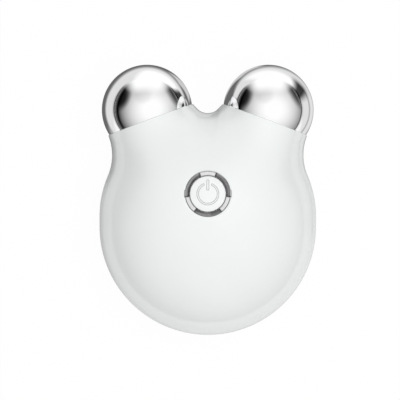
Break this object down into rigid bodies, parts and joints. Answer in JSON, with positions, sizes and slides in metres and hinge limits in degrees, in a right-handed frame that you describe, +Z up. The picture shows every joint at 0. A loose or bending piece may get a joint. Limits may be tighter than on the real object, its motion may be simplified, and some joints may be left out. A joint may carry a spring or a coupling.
{
  "type": "facial toning device",
  "caption": "Palm-sized facial toning device: a glossy rounded body with bright ball electrodes on splayed horns and a lit power button in a ring.",
  "frame": {"origin": "on the resting flat, under the middle of the device's outline", "axes": "+X to the right as seen from the front, +Y along the device towards the ball electrodes, +Z up out of the front, through the power button"},
  "size_m": [0.068, 0.0848, 0.0408],
  "materials": {
    "body_white": "smooth high gloss",
    "plated_ball": "mirror-bright chrome plating over moulded ABS",
    "ring_chrome": "polished plating",
    "window_frost": "frosted clear acrylic",
    "button_white": "satin gloss",
    "seal_rubber": "matt",
    "contact_brass": "bright",
    "screw_steel": "zinc plated",
    "lead_red": "satin insulation",
    "switch_black": "moulded",
    "board_green": "solder resist",
    "led_yellow": "clear epoxy",
    "chip_black": "moulded epoxy",
    "coil_grey": "sintered ferrite",
    "capacitor_can": "drawn can",
    "socket_steel": "drawn steel",
    "battery_foil": "laminated foil",
    "pad_foam": "closed-cell foam",
    "plug_ivory": "moulded nylon"
  },
  "bodies": {
    "housing": {"front_shell": "body_white", "back_shell": "body_white", "left_electrode": "plated_ball", "right_electrode": "plated_ball", "left_seal": "seal_rubber", "right_seal": "seal_rubber", "left_contact": "contact_brass", "right_contact": "contact_brass", "contact_screws": "screw_steel", "left_lead": "lead_red", "right_lead": "lead_red", "button_ring": "ring_chrome", "light_guide": "window_frost", "power_switch": "switch_black", "circuit_board": "board_green", "board_screws": "screw_steel", "indicator_leds": "led_yellow", "control_chip": "chip_black", "boost_coil": "coil_grey", "capacitors": "capacitor_can", "charging_socket": "socket_steel", "battery": "battery_foil", "battery_pad": "pad_foam", "battery_connector": "plug_ivory", "battery_leads": "lead_red"},
    "button": {"power_button": "button_white"},
    "plunger": {"switch_plunger": "switch_black"}
  },
  "joints": [
    {"name": "button_press", "type": "slide", "parent": "housing", "child": "button", "axis": [0, 0, -1], "range_m": [0, 0.0005], "stiffness_N_per_m": 2500},
    {"name": "plunger_press", "type": "slide", "parent": "housing", "child": "plunger", "axis": [0, 0, -1], "range_m": [0, 0.0005]}
  ],
  "couplings": [
    {"joint": "plunger_press", "follows": "button_press", "ratio": 1}
  ]
}
